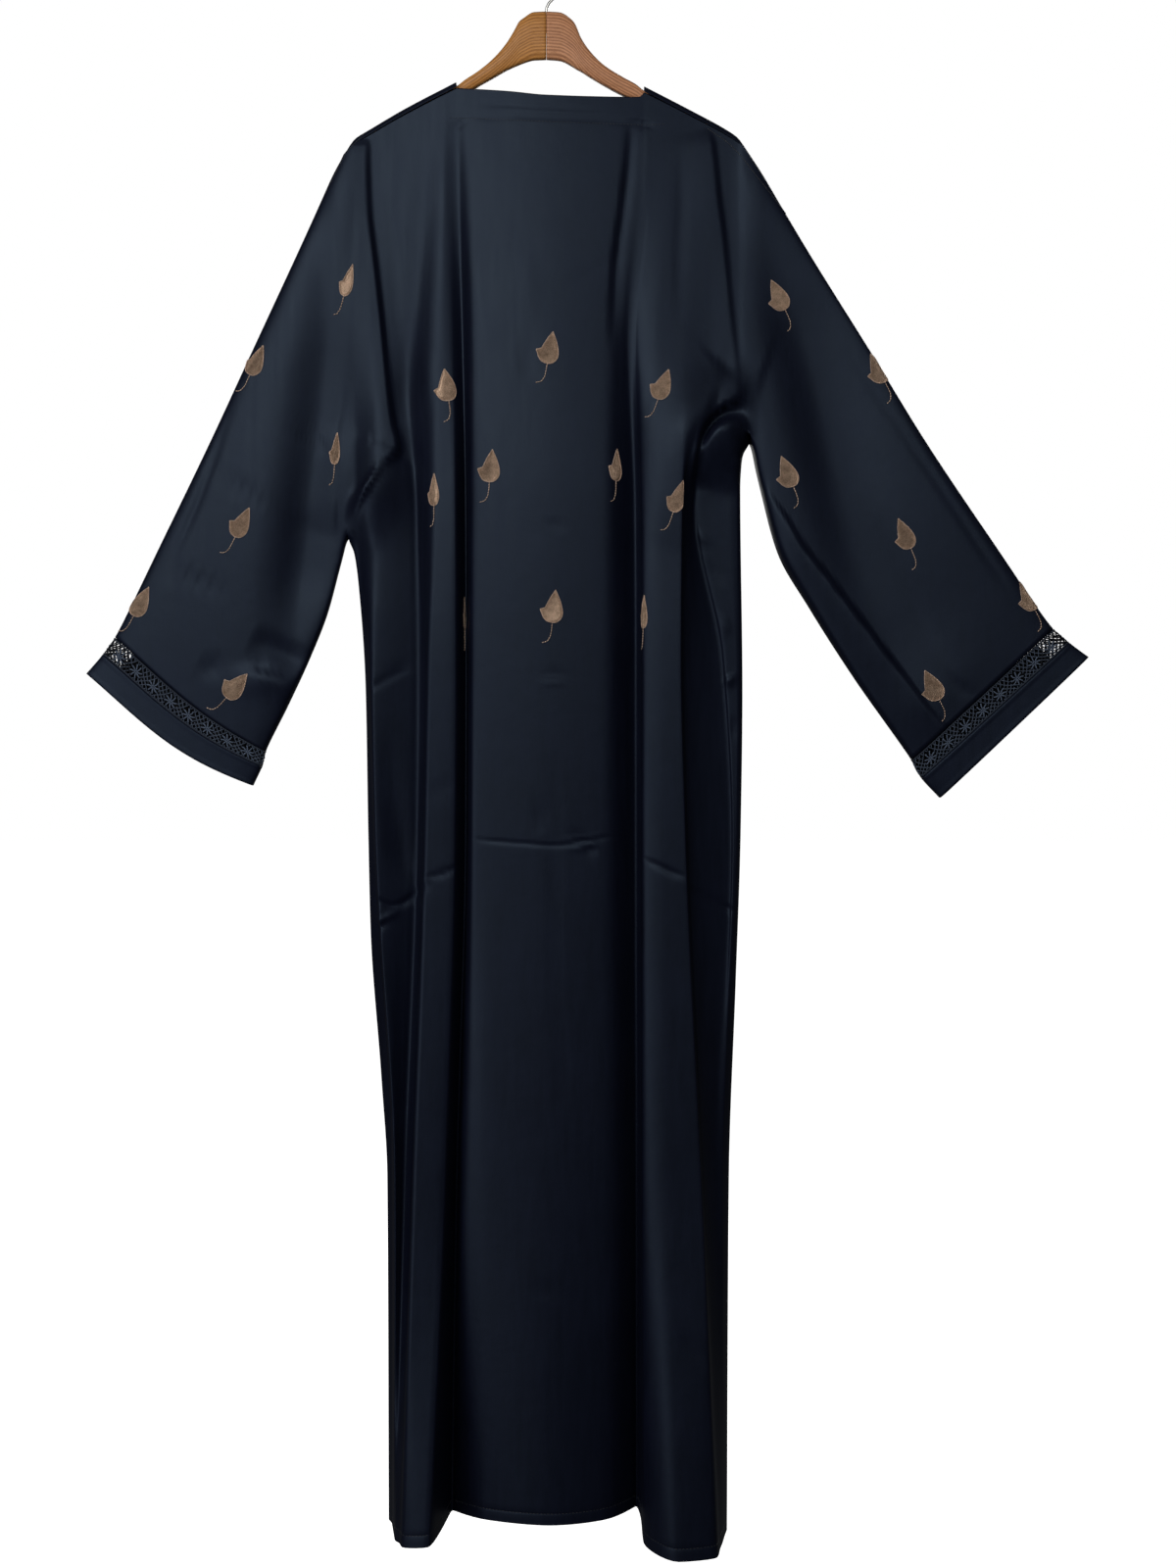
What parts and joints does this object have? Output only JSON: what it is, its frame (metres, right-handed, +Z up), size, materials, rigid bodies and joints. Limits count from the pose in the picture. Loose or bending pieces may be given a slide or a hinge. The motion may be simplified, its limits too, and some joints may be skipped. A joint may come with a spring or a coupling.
{
  "type": "abaya cloak on a wooden hanger",
  "caption": "Long open abaya cloak with wide sleeves cut in one, lace insertions and plain cuff bands, hung by its shoulders on a contoured wooden hanger with a wire hook.",
  "frame": {"origin": "inside top of the hanger's hook, where a rod holds it", "axes": "+Z up, -Y towards the back of the garment, +Y towards its open front, +X towards the wearer's right"},
  "size_m": [1.0257, 0.1666, 1.6128],
  "materials": {
    "satin": "soft satin weave, blue-black",
    "lace": "cotton guipure lace, black",
    "band": "plain matt band, black",
    "wood": "clear varnished brown wood",
    "wire": "bright plated steel wire"
  },
  "bodies": {
    "root": {"back": "satin", "front_left": "satin", "front_right": "satin", "lace_left": "lace", "lace_right": "lace", "cuff_left": "band", "cuff_right": "band", "hanger_arm_left": "wood", "hanger_arm_right": "wood", "hook": "wire"}
  },
  "joints": []
}
